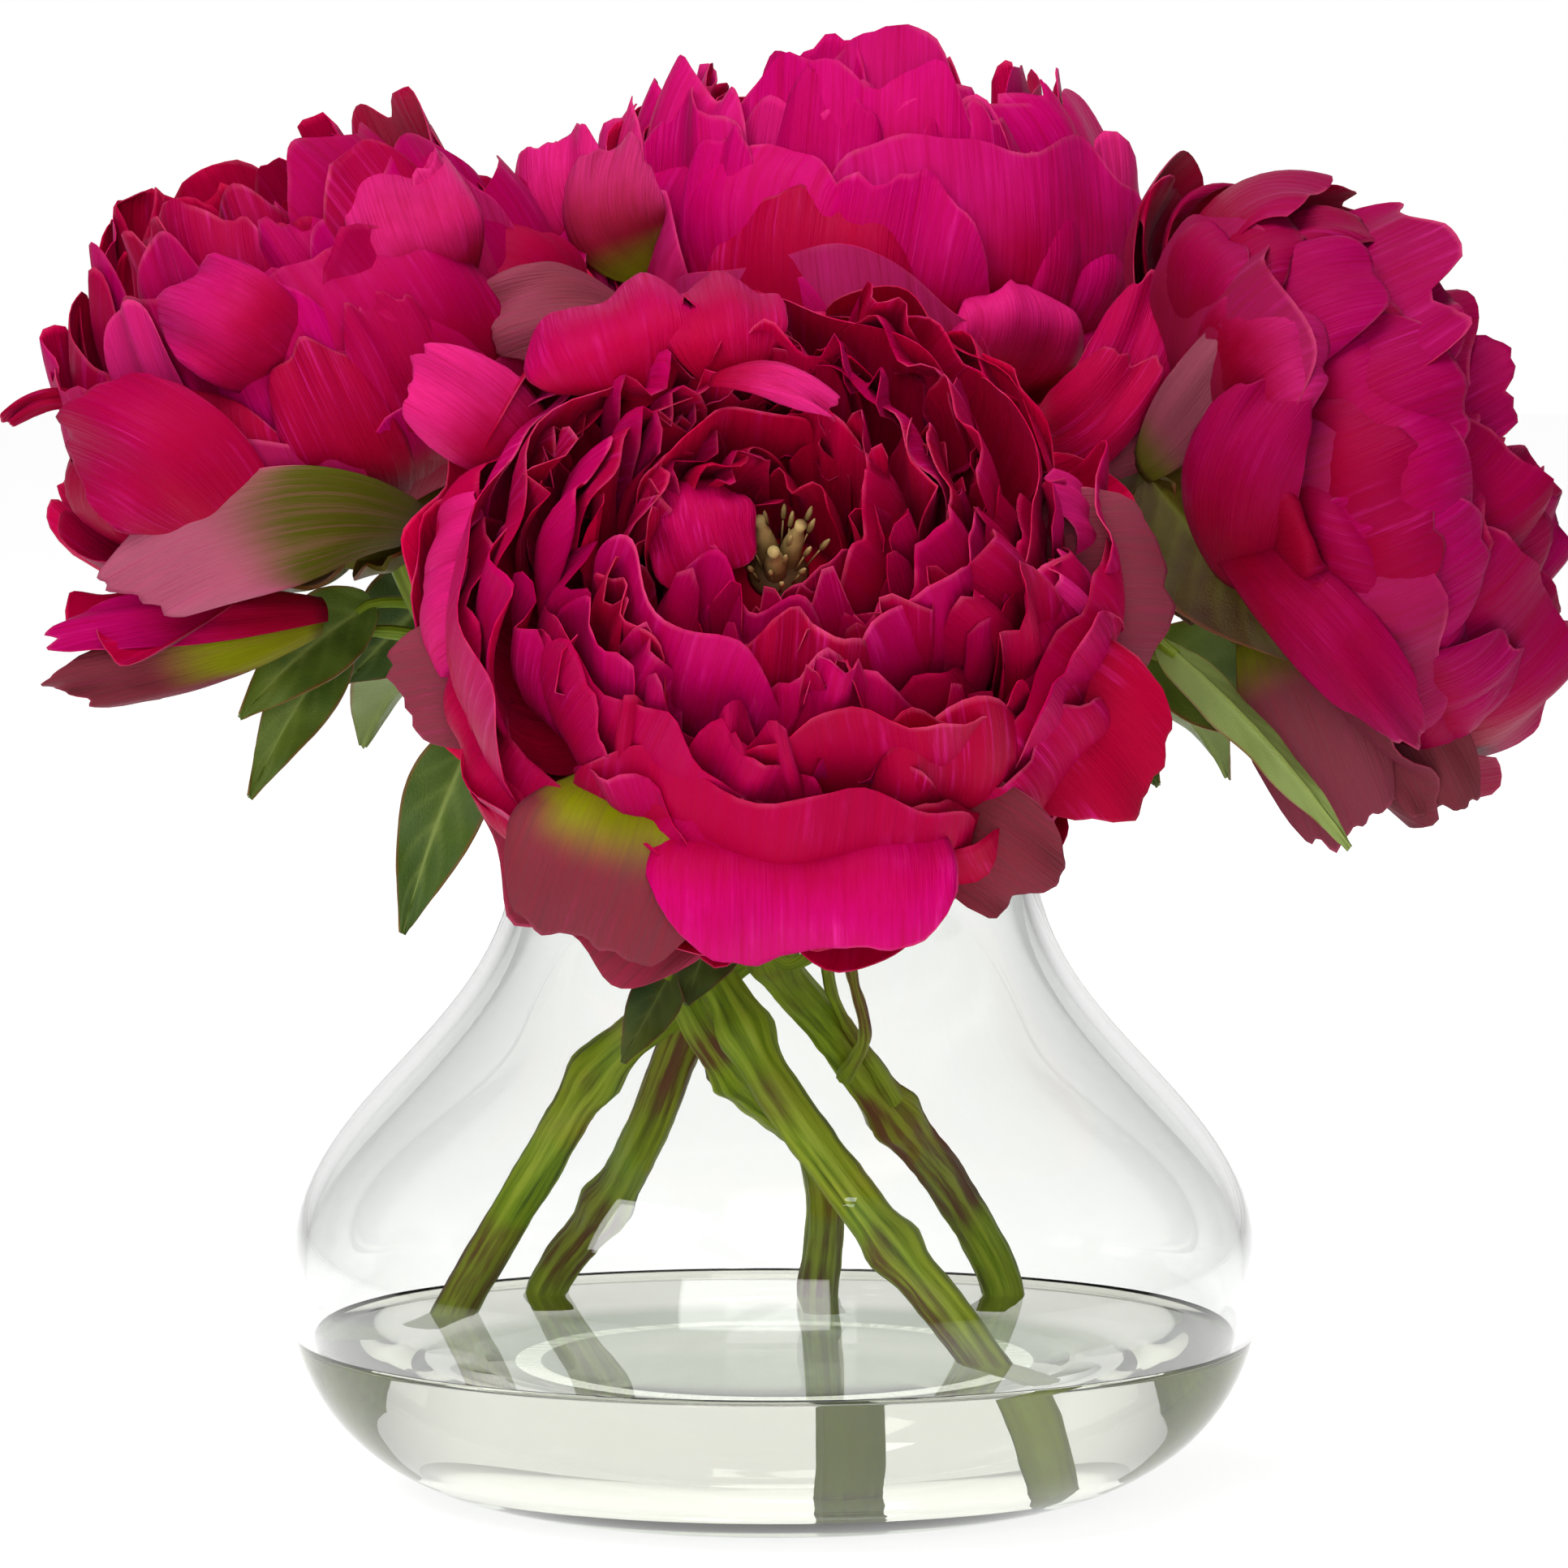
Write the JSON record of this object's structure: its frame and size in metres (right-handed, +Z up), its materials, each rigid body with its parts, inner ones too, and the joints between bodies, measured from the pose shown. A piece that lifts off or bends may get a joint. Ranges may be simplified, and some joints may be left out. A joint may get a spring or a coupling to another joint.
{
  "type": "peonies in a vase",
  "caption": "Full magenta peony blooms with green stems and leaves, standing in shallow water in a squat clear glass vase with a round belly and a narrow flared neck.",
  "frame": {"origin": "centre of the vase's flat underside, in the plane it rests on", "axes": "+Z up, +X to the right as seen from the front, +Y to the back; the front faces -Y"},
  "size_m": [0.2368, 0.2049, 0.2249],
  "materials": {
    "glass": "polished",
    "water": "polished",
    "petals": "satin",
    "greens": "satin",
    "heart": "matte"
  },
  "bodies": {
    "root": {"vase": "glass", "water": "water", "petals_front": "petals", "petals_left": "petals", "petals_top": "petals", "petals_right": "petals", "heart_front": "heart", "heart_left": "heart", "heart_top": "heart", "heart_right": "heart", "stem_front": "greens", "stem_left": "greens", "stem_top": "greens", "stem_right": "greens", "stem_leafy": "greens"}
  },
  "joints": []
}
